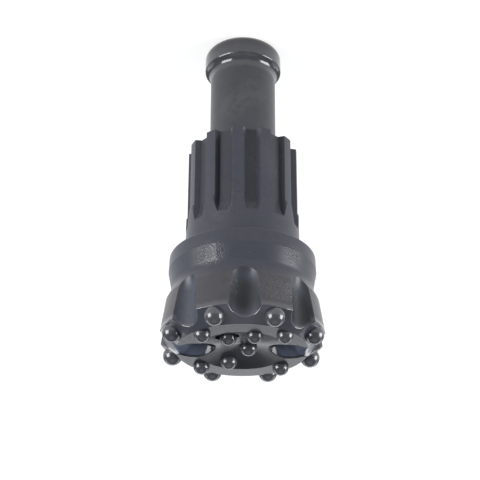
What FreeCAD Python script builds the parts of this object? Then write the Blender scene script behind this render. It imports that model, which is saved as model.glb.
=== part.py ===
import FreeCAD, Part
import math
import os

# Button bit for a down-the-hole percussion hammer, 152 mm gauge.
# The bit stands on its striking end, with the drilling face up.
# Origin: centre of the striking face. +Z: along the bit axis, towards the drilling face.
# Millimetres and degrees. Heights are measured from the striking face.

# Retaining collar and stem
collar_radius = 37.5
collar_height = 21.8
collar_foot_round = 8.5
collar_back_round = 2.0
collar_slope_height = 3.6
collar_root_round = 6.4
stem_radius = 31.75
stem_length = 90.4
stem_root_round = 1.5

# Driving splines and the guide neck above them
spline_count = 12
spline_turn = 7.0
spline_length = 70.0
crest_radius = 51.9
crest_edge_chamfer = 0.9
crest_edge_angle = 60.0
groove_depth = 6.0
groove_floor_width = 10.1
groove_flank_angle = 32.0
groove_corner_round = 1.4
groove_cutter_radius = 28.2
groove_run_out_turn = 50.0
neck_step = 1.1
neck_length = 44.9
neck_root_round = 1.2

# Shoulder flange and waist
flange_radius = 68.0
flange_length = 14.8
shoulder_taper = 0.6
shoulder_edge_round = 1.8
waist_radius = 64.3
waist_length = 19.5
waist_round = 12.0

# Head, from the waist to the drilling face
flare_length = 11.6
flare_round = 4.0
head_length = 44.8
head_side_angle = 8.9
gauge_radius = 75.2
bevel_width = 15.8
bevel_angle = 36.5
face_ring_width = 17.1
dish_depth = 7.8

# Chip flutes down the side of the head
flute_count = 8
flute_radius = 15.5
flute_depth = 11.3
flute_straight_foot = 7.0
flute_run_out_bend = 43.0
flute_run_out_turn = 60.0
air_flute_radius = 13.5
air_flute_inset = 8.4
air_flute_tilt = 32.0
head_edge_round = 0.8

# Air passages
bore_radius = 19.0
bore_past_air_holes = 6.5
bore_tip_angle = 59.0
bore_mouth_chamfer = 2.0
air_hole_directions = [0.0, 180.0]
air_hole_radius = 8.2
air_hole_tilt = 27.0
air_hole_inside_dish = 6.0
air_funnel_radius = 14.5
air_funnel_angle = 62.0
air_channel_radius = 10.0
air_channel_outside_dish = 2.6
air_channel_lift = 2.6
air_channel_drop = 7.3

# Carbide buttons, each a cylindrical grip under a round dome
gauge_button_count = 8
gauge_button_radius = 8.9
gauge_button_grip = 18.0
gauge_button_proud = 0.7
gauge_row_inset = 7.7
face_button_count = 4
face_button_radius = 7.7
face_button_grip = 16.0
face_button_proud = 0.1
face_row_inset = 8.1
inner_button_radius = 7.7
inner_button_grip = 16.0
inner_button_proud = 0.1
button_foot_chamfer = 1.0
spot_face_margin = 3.0
spot_face_depth = 1.8
spot_face_shift_x = 1.0
spot_face_shift_y = -2.5

# Places of the four inner buttons: distance from the axis and direction
inner_edge_reach = 34.0
inner_outer_reach = 31.2
inner_middle_reach = 27.9
inner_centre_reach = 8.7
inner_places = [
    (inner_edge_reach, -107.0),
    (inner_outer_reach, 68.4),
    (inner_middle_reach, -61.9),
    (inner_centre_reach, 131.7),
]
spot_faced_button = "inner_button_3"

# How far a cutter runs past the surface that it cuts
overrun = 30.0

# A line shorter than this is left out of a section
shortest_line = 0.000001

# Faces that meet at a smaller angle than this count as one smooth surface
smooth_limit = 15.0

# Radii worked out from the sizes above
groove_floor_radius = crest_radius - groove_depth
neck_radius = crest_radius + neck_step
shoulder_radius = flange_radius - shoulder_taper
face_radius = gauge_radius - bevel_width
dish_radius = face_radius - face_ring_width
flute_floor_radius = gauge_radius - flute_depth
air_flute_floor_at_face = face_radius - air_flute_inset
air_hole_reach = dish_radius - air_hole_inside_dish
air_channel_reach = dish_radius + air_channel_outside_dish
gauge_row_radius = gauge_radius - gauge_row_inset
face_row_radius = face_radius - face_row_inset
spot_face_radius = inner_button_radius + spot_face_margin

# Heights worked out from the sizes above
stem_start = collar_height + collar_slope_height
spline_start = stem_start + stem_length
crest_end = spline_start + spline_length
shoulder_height = crest_end + neck_length
flange_height = shoulder_height + flange_length
waist_height = flange_height + waist_length
flare_height = waist_height + flare_length
face_height = flare_height + head_length
gauge_height = face_height - bevel_width * math.tan(math.radians(bevel_angle))
flare_radius = gauge_radius - (gauge_height - flare_height) * math.tan(math.radians(head_side_angle))
flute_run_out_start = flare_height + flute_straight_foot
bore_end = face_height - air_hole_reach / math.tan(math.radians(air_hole_tilt)) + bore_past_air_holes
dish_angle = math.degrees(math.atan2(dish_depth, dish_radius))

AXIS = FreeCAD.Vector(0, 0, 1)
ORIGIN = FreeCAD.Vector(0, 0, 0)


def section_point(radius, height):
    return FreeCAD.Vector(radius, 0, height)


def rounded_wire(corners):
    """Closed wire through corners (point, rounding radius), with a tangent arc at each rounding."""
    starts = []
    ends = []
    middles = []
    count = len(corners)
    for index, (corner, rounding) in enumerate(corners):
        back = corners[index - 1][0] - corner
        ahead = corners[(index + 1) % count][0] - corner
        back.normalize()
        ahead.normalize()
        half_angle = back.getAngle(ahead) / 2
        reach = rounding / math.tan(half_angle)
        bisector = back + ahead
        if rounding > 0:
            bisector.normalize()
            centre = corner + bisector * (rounding / math.sin(half_angle))
            middles.append(centre - bisector * rounding)
        else:
            middles.append(None)
        starts.append(corner + back * reach)
        ends.append(corner + ahead * reach)
    edges = []
    for index in range(count):
        if middles[index] is not None:
            edges.append(Part.Arc(starts[index], middles[index], ends[index]).toShape())
        following = (index + 1) % count
        if (starts[following] - ends[index]).Length > shortest_line:
            edges.append(Part.LineSegment(ends[index], starts[following]).toShape())
    return Part.Wire(edges)


def turned(corners):
    """Solid of revolution about the bit axis from corners (radius, height, rounding)."""
    wire = rounded_wire([(section_point(radius, height), rounding) for radius, height, rounding in corners])
    return Part.Face(wire).revolve(ORIGIN, AXIS, 360)


def about_axis(shape, angle):
    copy = shape.copy()
    copy.rotate(ORIGIN, AXIS, angle)
    return copy


def between(count, index):
    """Direction halfway to the next of a number of even places about the axis."""
    return 360 / count * (index + 0.5)


def tilted(angle):
    """Direction up the bit that leans outwards, away from the axis, by an angle."""
    lean = math.radians(angle)
    return FreeCAD.Vector(math.sin(lean), 0, math.cos(lean))


def blank():
    """The turned outside of the bit, with the dished face."""
    return turned([
        (0, 0, 0),
        (collar_radius, 0, collar_foot_round),
        (collar_radius, collar_height, collar_back_round),
        (stem_radius, stem_start, collar_root_round),
        (stem_radius, spline_start, stem_root_round),
        (crest_radius, spline_start, 0),
        (crest_radius, crest_end, 0),
        (neck_radius, crest_end + neck_radius - crest_radius, 0),
        (neck_radius, shoulder_height, neck_root_round),
        (shoulder_radius, shoulder_height, shoulder_edge_round),
        (flange_radius, flange_height, 0),
        (waist_radius, waist_height, waist_round),
        (flare_radius, flare_height, flare_round),
        (gauge_radius, gauge_height, 0),
        (face_radius, face_height, 0),
        (dish_radius, face_height, 0),
        (0, face_height - dish_depth, 0),
    ])


def groove_profile():
    """Cross-section of one spline groove, across the groove and outwards from its floor."""
    half_floor = groove_floor_width / 2
    flank = math.tan(math.radians(groove_flank_angle))
    crest_depth = crest_radius - groove_floor_radius
    chamfer_depth = crest_depth - crest_edge_chamfer
    chamfer_half = half_floor + chamfer_depth * flank
    mouth_depth = neck_radius - groove_floor_radius + crest_edge_chamfer
    edge_flank = math.tan(math.radians(crest_edge_angle))
    mouth_half = chamfer_half + (mouth_depth - chamfer_depth) * edge_flank
    half_outline = [
        (half_floor, 0, groove_corner_round),
        (chamfer_half, chamfer_depth, 0),
        (mouth_half, mouth_depth, 0),
    ]
    left_half = [(-across, depth, rounding) for across, depth, rounding in reversed(half_outline)]
    return half_outline + left_half


def groove_cutter():
    """One groove: a straight run through the crests, then the round run-out of the form cutter."""
    corners = []
    for across, depth, rounding in groove_profile():
        place = FreeCAD.Vector(groove_floor_radius + depth, across, crest_end)
        corners.append((place, rounding))
    section = Part.Face(rounded_wire(corners))
    straight_run = section.extrude(AXIS * (spline_start - overrun - crest_end))
    cutter_centre = FreeCAD.Vector(groove_floor_radius + groove_cutter_radius, 0, crest_end)
    run_out = section.revolve(cutter_centre, FreeCAD.Vector(0, 1, 0), groove_run_out_turn)
    return straight_run.fuse(run_out)


def flute_cutter():
    """A round-bottomed flute, straight down the head and bending out of it below."""
    bend_radius = flute_run_out_bend - flute_radius
    flute_centre = FreeCAD.Vector(flute_floor_radius + flute_radius, 0, flute_run_out_start)
    section = Part.Face(Part.Wire(Part.makeCircle(flute_radius, flute_centre, AXIS)))
    straight_run = section.extrude(AXIS * (face_height + overrun - flute_run_out_start))
    bend_centre = flute_centre + FreeCAD.Vector(bend_radius, 0, 0)
    run_out = section.revolve(bend_centre, FreeCAD.Vector(0, -1, 0), flute_run_out_turn)
    return straight_run.fuse(run_out)


def air_flute_cutter():
    """The slanted end of a side flute, opening it towards the air hole on the face."""
    downwards = tilted(-air_flute_tilt) * -1
    across = FreeCAD.Vector(-downwards.z, 0, downwards.x)
    floor = FreeCAD.Vector(air_flute_floor_at_face, 0, face_height)
    top = floor + across * air_flute_radius - downwards * overrun
    length = overrun + (face_height - flute_run_out_start) / math.cos(math.radians(air_flute_tilt))
    return Part.makeCylinder(air_flute_radius, length, top, downwards)


def air_channel_cutter():
    """The round-ended channel that leads from the air hole out to the slanted flute."""
    fall = math.radians(air_channel_drop)
    outwards = FreeCAD.Vector(math.cos(fall), 0, -math.sin(fall))
    start = FreeCAD.Vector(air_channel_reach, 0, face_height + air_channel_lift)
    run = Part.makeCylinder(air_channel_radius, gauge_radius - air_channel_reach, start, outwards)
    return run.fuse(Part.makeSphere(air_channel_radius, start))


def air_passages():
    """The central bore, and the two slanted holes whose funnels open on the drilling face."""
    tip_length = bore_radius / math.tan(math.radians(bore_tip_angle))
    bore = turned([
        (0, 0, 0),
        (bore_radius + bore_mouth_chamfer, 0, 0),
        (bore_radius, bore_mouth_chamfer, 0),
        (bore_radius, bore_end, 0),
        (0, bore_end + tip_length, 0),
    ])
    outwards = tilted(air_hole_tilt)
    mouth = FreeCAD.Vector(air_hole_reach, 0, face_height)
    hole_length = air_hole_reach / math.sin(math.radians(air_hole_tilt))
    root = mouth - outwards * hole_length
    widening = math.tan(math.radians(air_funnel_angle / 2))
    funnel_depth = (air_funnel_radius - air_hole_radius) / widening
    hole = Part.makeCylinder(air_hole_radius, hole_length, root, outwards)
    funnel = Part.makeCone(air_hole_radius, air_funnel_radius + overrun * widening,
                           funnel_depth + overrun, mouth - outwards * funnel_depth, outwards)
    passages = [bore]
    for angle in air_hole_directions:
        passages += [about_axis(piece, angle) for piece in (hole, funnel)]
    return passages


def button_seats():
    """Each button's name, surface point, outward direction and sizes."""
    bevel_drop = (gauge_row_radius - face_radius) * math.tan(math.radians(bevel_angle))
    seats = []
    gauge_place = FreeCAD.Vector(gauge_row_radius, 0, face_height - bevel_drop)
    for index in range(gauge_button_count):
        seats.append({"name": f"gauge_button_{index + 1}", "place": gauge_place,
                      "outwards": tilted(bevel_angle), "angle": between(gauge_button_count, index),
                      "radius": gauge_button_radius, "grip": gauge_button_grip,
                      "proud": gauge_button_proud})
    face_place = FreeCAD.Vector(face_row_radius, 0, face_height)
    for index in range(face_button_count):
        seats.append({"name": f"face_button_{index + 1}", "place": face_place,
                      "outwards": tilted(0), "angle": between(face_button_count, index),
                      "radius": face_button_radius, "grip": face_button_grip,
                      "proud": face_button_proud})
    for index, (reach, angle) in enumerate(inner_places):
        depth = (dish_radius - reach) * math.tan(math.radians(dish_angle))
        seats.append({"name": f"inner_button_{index + 1}",
                      "place": FreeCAD.Vector(reach, 0, face_height - depth),
                      "outwards": tilted(-dish_angle), "angle": angle,
                      "radius": inner_button_radius, "grip": inner_button_grip,
                      "proud": inner_button_proud})
    return seats


def seat_foot(seat):
    """Centre of the button's lower end, at the bottom of its hole."""
    return seat["place"] + seat["outwards"] * (seat["proud"] - seat["grip"])


def button(seat):
    """One carbide button: a grip with a chamfered foot and a half-ball dome."""
    foot = seat_foot(seat)
    outwards = seat["outwards"]
    radius = seat["radius"]
    chamfer = Part.makeCone(radius - button_foot_chamfer, radius, button_foot_chamfer, foot, outwards)
    grip = Part.makeCylinder(radius, seat["grip"] - button_foot_chamfer,
                             foot + outwards * button_foot_chamfer, outwards)
    dome = Part.makeSphere(radius, foot + outwards * seat["grip"], outwards, 0, 90, 360)
    return about_axis(chamfer.fuse([grip, dome]).removeSplitter(), seat["angle"])


def button_hole(seat):
    """The blind hole that holds one button."""
    hole = Part.makeCylinder(seat["radius"], seat["grip"] + overrun, seat_foot(seat), seat["outwards"])
    return about_axis(hole, seat["angle"])


def spot_face(seat):
    """The shallow round recess about one inner button."""
    floor = seat["place"] - seat["outwards"] * spot_face_depth
    recess = about_axis(Part.makeCylinder(spot_face_radius, overrun, floor, seat["outwards"]), seat["angle"])
    recess.translate(FreeCAD.Vector(spot_face_shift_x, spot_face_shift_y, 0))
    return recess


def middle_of(edge):
    return edge.valueAt((edge.FirstParameter + edge.LastParameter) / 2)


def crease(body, edge):
    """Angle between the two faces that meet at the middle of an edge. A seam has one face, and no crease."""
    faces = body.ancestorsOfType(edge, Part.Face)
    if len(faces) < 2:
        return 0
    normals = [face.normalAt(*face.Surface.parameter(middle_of(edge))) for face in faces]
    return math.degrees(normals[0].getAngle(normals[1]))


def softened(body):
    """The body with the sharp edges of its flutes, funnels and face rounded off."""
    edges = []
    for edge in body.Edges:
        middle = middle_of(edge)
        on_head = middle.z > flare_height and math.hypot(middle.x, middle.y) > bore_radius
        if on_head and crease(body, edge) > smooth_limit:
            edges.append(edge)
    return body.makeFillet(head_edge_round, edges)


def bit_body(seats):
    body = blank()
    groove = groove_cutter()
    for index in range(spline_count):
        body = body.cut(about_axis(groove, spline_turn + between(spline_count, index)))
    flute = flute_cutter()
    for index in range(flute_count):
        body = body.cut(about_axis(flute, 360 / flute_count * index))
    for cutter in (air_flute_cutter(), air_channel_cutter()):
        for angle in air_hole_directions:
            body = body.cut(about_axis(cutter, angle))
    body = softened(body.cut(air_passages()))
    body = body.cut([button_hole(seat) for seat in seats])
    for seat in seats:
        if seat["name"] == spot_faced_button:
            body = body.cut(spot_face(seat))
    return body


os.makedirs("parts", exist_ok=True)
seats = button_seats()
pieces = {"bit_body": bit_body(seats)}
for seat in seats:
    pieces[seat["name"]] = button(seat)
for name, shape in pieces.items():
    shape.exportStep(f"parts/{name}.step")
    print(name, len(shape.Solids), shape.isValid(), round(shape.Volume))
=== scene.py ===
import math
import bpy
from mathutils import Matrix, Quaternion, Vector


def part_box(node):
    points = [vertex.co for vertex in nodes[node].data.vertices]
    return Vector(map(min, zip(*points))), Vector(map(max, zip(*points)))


# A button bit for a down-the-hole hammer, painted all over and standing on its striking end.
# Metres and degrees. +Z runs up the bit's axis, and the viewer is on the -Y side.
# Directions round the bit are seen from above and start at +X.

# The viewer's place, as worked out from the photograph, in which the bit is upside down
view_distance = 1.1197
view_height = 0.7994
view_swing = 1.75
view_pitch = 27.8
view_roll = 180.15
lens_length = 101.75
sensor_width = 36.0
frame_pixels = 480
axis_pixel = 242.55

# Two softboxes in front, one to each side of the viewer
softbox_size = 1.10
softbox_reach = 1.80
softbox_height = 0.50
softbox_level = 13.0
left_softbox_swing = 55.0
right_softbox_swing = 76.0

# A wall behind the bit, in upright panels, and a dim ceiling.
# Each row of panels has its lowest and highest angle above the face, and its level.
wall_reach = 1.80
wall_swings = (-52.0, -26.0, 0.0, 26.0, 52.0)
wall_panel_width = 0.83
wall_rows = ((13.0, 23.0, 2.6), (23.0, 35.5, 1.15))
ceiling_side = 1.50
ceiling_height = 2.00
ceiling_level = 0.60
light_blue = (0.92, 0.96, 1.0)

# Room and floor
room_level = 0.13
room_tint = (0.86, 0.93, 1.0, 1.0)
floor_side = 14.0
floor_shade = 0.40
floor_glow = 0.72

# Heights and radii of the bit that its paint follows
spline_foot = 0.116
groove_floor_radius = 0.0459
flange_foot = 0.2307
head_foot = 0.2766
head_foot_radius = 0.0700
head_side_angle = 8.9
gauge_edge = 0.3097
bevel_spread = 1.351
face_radius = 0.0594
funnel_directions = (0, 180)
funnel_reach = 0.046
funnel_drop = 0.007
funnel_size = 0.022

# Surface of the body's paint: height of its relief, and what changes its roughness
fine_relief = 0.12
dust_relief = 0.5
peel_relief = 1.9
body_roughness = 0.27
cloud_roughness = 0.08
mottle_roughness = 0.05
peel_polish = 0.10
gloss_polish = 0.14
rim_coat = 0.9
collar_coat = 0.6
peel_coat = 0.2
ring_matting = 0.6

# Surface of the buttons' paint
button_fine_relief = 0.10
button_dust_relief = 0.4
button_roughness = 0.20
button_mottle_roughness = 0.06

# Patterns: full strength up to this share of a spot's reach, the width of a speck's soft
# edge, the cells of the patches that specks keep to, and the soft edge of those patches
spot_core = 0.35
speck_blur = 1.6
speck_patch_scale = 0.25
speck_patch_edge = 0.03
ragged_width = 0.004

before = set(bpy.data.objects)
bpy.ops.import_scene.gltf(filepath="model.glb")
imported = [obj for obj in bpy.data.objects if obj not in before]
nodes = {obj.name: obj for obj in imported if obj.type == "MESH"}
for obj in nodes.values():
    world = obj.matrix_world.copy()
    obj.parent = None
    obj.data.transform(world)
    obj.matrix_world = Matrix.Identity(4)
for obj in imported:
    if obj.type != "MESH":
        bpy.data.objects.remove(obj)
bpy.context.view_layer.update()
face_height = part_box("bit_body")[1].z

# Soft edges of the painted parts, as heights: where each starts to rise and where it is full
foot_shade_edge = (0.006, 0.020)
collar_edge = (0.031, 0.035)
stem_edge = (spline_foot - 0.002, spline_foot)
groove_foot_edge = (spline_foot - 0.001, spline_foot + 0.001)
shank_edge = (flange_foot - 0.002, flange_foot + 0.001)
head_edge = (head_foot - 0.005, head_foot + 0.002)
rim_edge = (gauge_edge - 0.0060, gauge_edge - 0.0020)
bevel_edge = (gauge_edge - 0.0012, gauge_edge + 0.0004)
face_edge = (face_height - 0.0095, face_height - 0.0015)
funnel_mouth_edge = (face_height - 0.0024, face_height - 0.0006)

# The same as distances from the axis
groove_wall_edge = (groove_floor_radius + 0.001, groove_floor_radius + 0.003)
face_rim_edge = (face_radius - 0.0020, face_radius)
ring_edge = (face_radius - 0.0010, face_radius + 0.0020)

# The same as distances outside the head's side
land_edge = (-0.0030, -0.0008)
hollow_edge = (-0.0050, -0.0010)


# Shader maths

class Wire:
    """The output of a shader node, with arithmetic that adds Math nodes."""

    def __init__(self, finish, socket):
        self.finish = finish
        self.socket = socket

    def math(self, operation, first, second):
        node = self.finish.add("ShaderNodeMath", {"operation": operation}, {0: first, 1: second})
        return self.finish.wire(node)

    def __add__(self, other):
        return self.math("ADD", self, other)

    def __radd__(self, other):
        return self.math("ADD", other, self)

    def __sub__(self, other):
        return self.math("SUBTRACT", self, other)

    def __rsub__(self, other):
        return self.math("SUBTRACT", other, self)

    def __mul__(self, other):
        return self.math("MULTIPLY", self, other)

    def __rmul__(self, other):
        return self.math("MULTIPLY", other, self)

    def least(self, other):
        return self.math("MINIMUM", self, other)


class Finish:
    """One material, whose nodes are added by name."""

    def __init__(self, name):
        self.material = bpy.data.materials.new(name)
        self.material.use_nodes = True
        self.tree = self.material.node_tree
        self.tree.nodes.clear()

    def wire(self, node, output=0):
        return Wire(self, node.outputs[output])

    def add(self, kind, settings=None, inputs=None):
        """A node of one kind. Its settings are set first, then the values or links of its sockets."""
        node = self.tree.nodes.new(kind)
        for key, value in (settings or {}).items():
            setattr(node, key, value)
        for key, value in (inputs or {}).items():
            if isinstance(value, Wire):
                self.tree.links.new(value.socket, node.inputs[key])
            else:
                node.inputs[key].default_value = value
        return node

    def place(self):
        """Position on the bit, because every piece has its origin at the bit's own."""
        return self.wire(self.add("ShaderNodeTexCoord"), "Object")

    def height(self):
        """Height above the striking end."""
        return self.wire(self.add("ShaderNodeSeparateXYZ", {}, {0: self.place()}), "Z")

    def off_axis(self):
        """Distance from the bit's axis."""
        flat = self.add("ShaderNodeVectorMath", {"operation": "MULTIPLY"},
                        {0: self.place(), 1: (1, 1, 0)})
        length = self.add("ShaderNodeVectorMath", {"operation": "LENGTH"}, {0: self.wire(flat)})
        return self.wire(length, "Value")

    def noise(self, scale, detail=3.0, roughness=0.5, stretch=(1, 1, 1), shift=(0, 0, 0)):
        """Smooth noise from 0 to 1, with so many cells to the metre."""
        where = self.add("ShaderNodeMapping", {},
                         {"Vector": self.place(), "Location": shift, "Scale": stretch})
        node = self.add("ShaderNodeTexNoise", {}, {"Vector": self.wire(where), "Scale": scale,
                                                   "Detail": detail, "Roughness": roughness})
        return self.wire(node, "Fac")

    def rise(self, value, low, high):
        """0 below low and 1 above high, with a smooth rise between them."""
        node = self.add("ShaderNodeMapRange", {"interpolation_type": "SMOOTHSTEP"},
                        {"Value": value, "From Min": low, "From Max": high})
        return self.wire(node, "Result")

    def blend(self, mask, first, second):
        """Colour that goes from first to second as the mask rises."""
        node = self.add("ShaderNodeMix", {"data_type": "RGBA"}, {0: mask, 6: first, 7: second})
        return self.wire(node, 2)

    def spot(self, centre, reach):
        """1 near a point of the bit, falling to 0 at the reach."""
        away = self.add("ShaderNodeVectorMath", {"operation": "DISTANCE"},
                        {0: self.place(), 1: centre})
        return 1 - self.rise(self.wire(away, "Value"), reach * spot_core, reach)

    def specks(self, cells, size, share):
        """Small round specks, which keep to scattered patches on a share of the surface."""
        points = self.add("ShaderNodeTexVoronoi", {"feature": "F1"},
                          {"Vector": self.place(), "Scale": cells})
        dots = 1 - self.rise(self.wire(points, "Distance"), size, size * speck_blur)
        patches = self.noise(cells * speck_patch_scale, shift=(2.0, 0.0, 1.0))
        return dots * self.rise(patches, 1 - share, 1 - share + speck_patch_edge)

    def close(self, shader):
        self.add("ShaderNodeOutputMaterial", {}, {"Surface": shader})
        return self.material


def tone(red, green, blue):
    """Linear colour from the 0 to 255 values of a screen."""
    def linear(value):
        share = value / 255
        return share / 12.92 if share <= 0.04045 else ((share + 0.055) / 1.055) ** 2.4
    return (linear(red), linear(green), linear(blue), 1.0)


def bit_point(direction, radius, height):
    """A point on the bit from its direction round the axis, distance from the axis and height."""
    turn = math.radians(direction)
    return Vector((radius * math.cos(turn), radius * math.sin(turn), height))


# Colours of the body's paint
cool_slate = tone(56, 58, 67)
warm_slate = tone(60, 61, 67)
stem_slate = tone(61, 61, 65)
# Painted shade at the foot, where the bit stands on the floor
foot_painted_shade = tone(38, 38, 42)
# Painted shade in the grooves between the spline ribs, where the ribs shade each other
groove_painted_shade = tone(48, 48, 53)
land_slate = tone(64, 63, 67)
hollow_slate = tone(61, 65, 74)
shadow_slate = tone(30, 32, 36)
face_slate = tone(38, 37, 41)
# Painted light: the air funnels lighter and bluish, standing in for bluish light that falls into them
funnel_painted_light = tone(68, 74, 88)
mottle_dark = tone(40, 41, 45)
streak_light = tone(64, 64, 68)
smudge_light = tone(84, 84, 88)

# Colours of the buttons' paint, and of the dust on both
button_dark = tone(60, 62, 68)
button_light = tone(66, 66, 71)
dust_grey = tone(150, 150, 152)

# Patches of coarse orange peel in the body's paint: place, reach and strength
peel_patches = (
    (bit_point(-63.0, 0.0655, 0.2540), 0.017, 1.0),
    (bit_point(-132.0, 0.0665, 0.2480), 0.014, 0.5),
    (bit_point(-112.0, 0.0720, 0.2920), 0.022, 0.7),
    (bit_point(-129.0, 0.0700, 0.2900), 0.016, 0.8),
    (bit_point(-85.0, 0.0690, 0.2880), 0.012, 0.6),
    (bit_point(-114.0, 0.0519, 0.1500), 0.030, 0.5),
    (bit_point(-70.0, 0.0530, 0.2050), 0.016, 0.5),
)

# Pale smudges on the stem, and painted shade on parts of two flutes: place and reach
smudges = (
    (bit_point(-70.0, 0.0318, 0.0800), 0.022),
    (bit_point(-105.0, 0.0318, 0.0640), 0.020),
)
shaded_hollows = (
    (bit_point(-90.0, 0.0640, 0.2960), 0.022),
    (bit_point(-137.0, 0.0640, 0.3000), 0.024),
)


# Finishes

def body_parts(paint, cloud):
    """Masks of the body's painted parts: 1 on the part and 0 off it, with soft edges."""
    height = paint.height()
    off_axis = paint.off_axis()
    ragged = (cloud - 0.5) * ragged_width
    side = (height - head_foot) * math.tan(math.radians(head_side_angle)) + head_foot_radius
    bevel = (face_height - height) * bevel_spread + face_radius
    shank = 1 - paint.rise(height, *shank_edge)
    on_head = paint.rise(height + ragged, *head_edge)
    past_gauge = paint.rise(height, *bevel_edge)
    inside_ring = past_gauge * (1 - paint.rise(off_axis, *ring_edge))
    in_groove = 1 - paint.rise(off_axis, *groove_wall_edge)
    in_hollow = 1 - paint.rise(off_axis - side.least(bevel), *hollow_edge)
    face = paint.rise(height, *face_edge) * (1 - paint.rise(off_axis, *face_rim_edge))
    below_face = 1 - paint.rise(height, *funnel_mouth_edge)
    by_funnel = 0.0
    for direction in funnel_directions:
        place = bit_point(direction, funnel_reach, face_height - funnel_drop)
        by_funnel = paint.spot(place, funnel_size) + by_funnel
    return {
        # Where the painted shade at the foot goes
        "foot": 1 - paint.rise(height, *foot_shade_edge),
        "collar": 1 - paint.rise(height, *collar_edge),
        "stem": 1 - paint.rise(height, *stem_edge),
        "shank": shank,
        "grooves": in_groove * paint.rise(height, *groove_foot_edge) * shank,
        "lands": paint.rise(off_axis - side + ragged, *land_edge) * on_head * (1 - past_gauge),
        "hollows": in_hollow * on_head * (1 - inside_ring),
        "rim": paint.rise(height, *rim_edge) * (1 - face) * (1 - inside_ring * ring_matting),
        "face": face,
        # The air funnels, which get painted bluish light and more gloss
        "funnels": paint.rise(by_funnel * below_face, 0.05, 0.4),
    }


def body_colour(paint, parts, cloud, mottle, dust):
    """Slate paint, warm on the lands, bluish in the hollows and darker at the face, with painted shade
    at the foot, in the grooves and in two flutes, and painted light in the air funnels.
    """
    streak = paint.noise(120.0, detail=2.0, stretch=(1, 1, 0.12), shift=(0.9, 0.4, 0.2))
    layers = [
        (parts["stem"] * 0.8, stem_slate),
        # Painted shade at the foot
        (parts["foot"] * 0.8, foot_painted_shade),
        # Painted shade in the spline grooves
        (parts["grooves"] * 0.5, groove_painted_shade),
        (parts["lands"] * 0.9, land_slate),
        (parts["hollows"] * 0.9, hollow_slate),
    ]
    # Painted shade deep in two flutes
    for centre, reach in shaded_hollows:
        layers.append((paint.spot(centre, reach) * parts["hollows"] * 0.9, shadow_slate))
    layers.append((parts["face"] * 0.8, face_slate))
    # Painted bluish light in the air funnels
    layers.append((parts["funnels"], funnel_painted_light))
    layers.append((paint.rise(mottle, 0.45, 0.80) * 0.30, mottle_dark))
    layers.append((paint.rise(streak, 0.55, 0.80) * parts["shank"] * 0.35, streak_light))
    for centre, reach in smudges:
        smear = paint.spot(centre, reach) * paint.rise(mottle, 0.30, 0.65)
        layers.append((smear * 0.35, smudge_light))
    layers.append((dust * 0.5, dust_grey))

    colour = paint.blend(paint.rise(cloud, 0.35, 0.70) * 0.6, cool_slate, warm_slate)
    for mask, shade in layers:
        colour = paint.blend(mask, colour, shade)
    return colour


def body_finish():
    """Semi-gloss paint, glossier on the collar, the rim and the face, with patches of orange peel."""
    paint = Finish("body_slate_paint")
    cloud = paint.noise(16.0, detail=4.0)
    mottle = paint.noise(150.0, shift=(0.3, 0.1, 0.7))
    dust = paint.specks(210.0, 0.05, 0.37)
    parts = body_parts(paint, cloud)
    colour = body_colour(paint, parts, cloud, mottle, dust)

    # Relief
    fine = paint.noise(900.0, detail=2.0, roughness=0.6)
    coarse = paint.noise(520.0, detail=2.0, roughness=0.65, shift=(0.5, 0.5, 0.0))
    peel = 0.0
    for centre, reach, strength in peel_patches:
        peel = paint.spot(centre, reach) * strength + peel
    relief = fine * fine_relief + dust * dust_relief
    relief = relief + paint.rise(coarse, 0.35, 0.70) * peel * peel_relief
    bump = paint.add("ShaderNodeBump", {}, {"Strength": 0.8, "Distance": 0.0003, "Height": relief})

    # Gloss
    glossy = parts["face"] + parts["collar"] + parts["funnels"]
    roughness = body_roughness + cloud * cloud_roughness + mottle * mottle_roughness
    roughness = roughness - peel * peel_polish - glossy * gloss_polish
    coat = parts["rim"] * (1 - parts["hollows"]) * rim_coat
    coat = coat + parts["collar"] * collar_coat + peel * peel_coat
    shader = paint.add("ShaderNodeBsdfPrincipled", {}, {
        "Base Color": colour, "Roughness": roughness, "Normal": paint.wire(bump), "IOR": 1.34,
        "Coat Weight": coat, "Coat Roughness": 0.07})
    return paint.close(paint.wire(shader))


def button_finish():
    """The same kind of paint on ground carbide, where it dries smoother and glossier."""
    paint = Finish("button_slate_paint")
    cloud = paint.noise(60.0, detail=3.0)
    mottle = paint.noise(260.0, shift=(0.6, 0.2, 0.4))
    dust = paint.specks(260.0, 0.05, 0.35)
    colour = paint.blend(paint.rise(cloud, 0.35, 0.70), button_dark, button_light)
    colour = paint.blend(dust * 0.4, colour, dust_grey)
    fine = paint.noise(700.0, detail=1.5)
    relief = fine * button_fine_relief + dust * button_dust_relief
    bump = paint.add("ShaderNodeBump", {}, {"Strength": 0.4, "Distance": 0.0002, "Height": relief})
    roughness = button_roughness + mottle * button_mottle_roughness
    shader = paint.add("ShaderNodeBsdfPrincipled", {}, {
        "Base Color": colour, "Roughness": roughness, "Normal": paint.wire(bump), "IOR": 1.5,
        "Coat Weight": 0.4, "Coat Roughness": 0.10})
    return paint.close(paint.wire(shader))


def floor_finish():
    """White floor that keeps a soft shadow, and shows white to the viewer and in the paint's gloss."""
    white = Finish("studio_floor_white")
    path = white.add("ShaderNodeLightPath")
    seen = white.wire(path, "Is Camera Ray") + white.wire(path, "Is Glossy Ray")
    seen = seen + white.wire(path, "Is Transmission Ray")
    shade = (floor_shade, floor_shade, floor_shade, 1)
    matt = white.add("ShaderNodeBsdfDiffuse", {}, {"Color": shade})
    glow = white.add("ShaderNodeEmission", {}, {"Color": (1, 1, 1, 1), "Strength": seen * floor_glow})
    both = white.add("ShaderNodeAddShader", {}, {0: white.wire(matt), 1: white.wire(glow)})
    return white.close(white.wire(both))


# Studio

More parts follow.
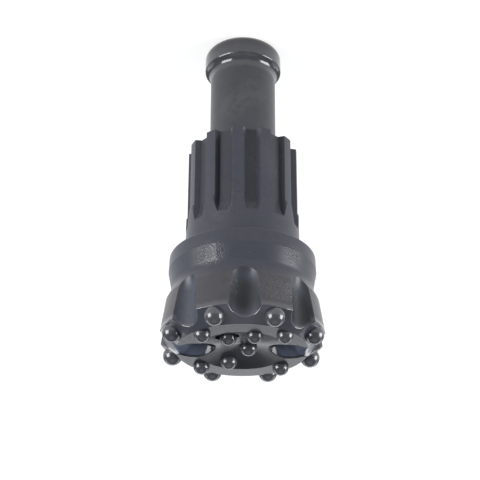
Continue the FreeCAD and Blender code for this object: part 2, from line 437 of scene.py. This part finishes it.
def stage_floor():
    half = floor_side / 2
    corners = [(-half, -half, 0), (half, -half, 0), (half, half, 0), (-half, half, 0)]
    mesh = bpy.data.meshes.new("studio_floor")
    mesh.from_pydata(corners, [], [(0, 1, 2, 3)])
    mesh.materials.append(floor_finish())
    floor = bpy.data.objects.new("studio_floor", mesh)
    bpy.context.scene.collection.objects.link(floor)


def area_light(name, place, aim, width, height, level, colour=(1, 1, 1)):
    """A soft rectangular light whose surface has the same brightness at any size."""
    lamp = bpy.data.lights.new(name, "AREA")
    lamp.shape = "RECTANGLE"
    lamp.size = width
    lamp.size_y = height
    lamp.energy = level * math.pi * width * height
    lamp.color = colour
    holder = bpy.data.objects.new(name, lamp)
    holder.location = place
    holder.rotation_mode = "QUATERNION"
    holder.rotation_quaternion = (Vector(aim) - Vector(place)).to_track_quat("-Z", "Y")
    bpy.context.scene.collection.objects.link(holder)


def around(swing, reach, height):
    """A place in the studio. The swing starts at the viewer's side and goes towards +X."""
    turn = math.radians(view_swing + swing)
    return Vector((reach * math.sin(turn), -reach * math.cos(turn), height))


def light_softboxes(aim):
    """The viewer's left is at +X, because the camera is upside down."""
    for name, swing in (("softbox_left", left_softbox_swing), ("softbox_right", -right_softbox_swing)):
        place = around(swing, softbox_reach, softbox_height)
        area_light(name, place, aim, softbox_size, softbox_size, softbox_level)


def light_wall(aim):
    for low, high, level in wall_rows:
        middle = math.radians((low + high) / 2)
        reach = wall_reach * math.cos(middle)
        height = face_height + wall_reach * math.sin(middle)
        panel_height = 2 * wall_reach * math.tan(math.radians((high - low) / 2))
        for swing in wall_swings:
            place = around(180 + swing, reach, height)
            area_light("wall_panel", place, aim, wall_panel_width, panel_height, level, light_blue)


def light_room():
    world = bpy.data.worlds.new("studio_room")
    world.use_nodes = True
    world.node_tree.nodes["Background"].inputs["Color"].default_value = room_tint
    world.node_tree.nodes["Background"].inputs["Strength"].default_value = room_level
    bpy.context.scene.world = world


def light_studio():
    aim = Vector((0, 0, face_height))
    light_softboxes(aim)
    light_wall(aim)
    overhead = (0, 0, ceiling_height)
    area_light("ceiling", overhead, aim, ceiling_side, ceiling_side, ceiling_level, light_blue)
    light_room()


def set_camera():
    camera = bpy.data.cameras.new("viewer")
    camera.lens = lens_length
    camera.sensor_width = sensor_width
    camera.shift_x = (frame_pixels / 2 - axis_pixel) / frame_pixels
    swing = math.radians(view_swing)
    pitch = math.radians(view_pitch)
    holder = bpy.data.objects.new("viewer", camera)
    holder.location = around(0, view_distance, view_height)
    ahead = Vector((-math.sin(swing) * math.cos(pitch),
                    math.cos(swing) * math.cos(pitch),
                    -math.sin(pitch)))
    upright = ahead.to_track_quat("-Z", "Y")
    holder.rotation_mode = "QUATERNION"
    holder.rotation_quaternion = upright @ Quaternion((0, 0, 1), math.radians(view_roll))
    bpy.context.scene.collection.objects.link(holder)
    bpy.context.scene.camera = holder


body_paint = body_finish()
button_paint = button_finish()
for name, node in nodes.items():
    node.data.materials.clear()
    node.data.materials.append(body_paint if name == "bit_body" else button_paint)

stage_floor()
light_studio()
set_camera()
bpy.context.scene.view_settings.view_transform = "Standard"
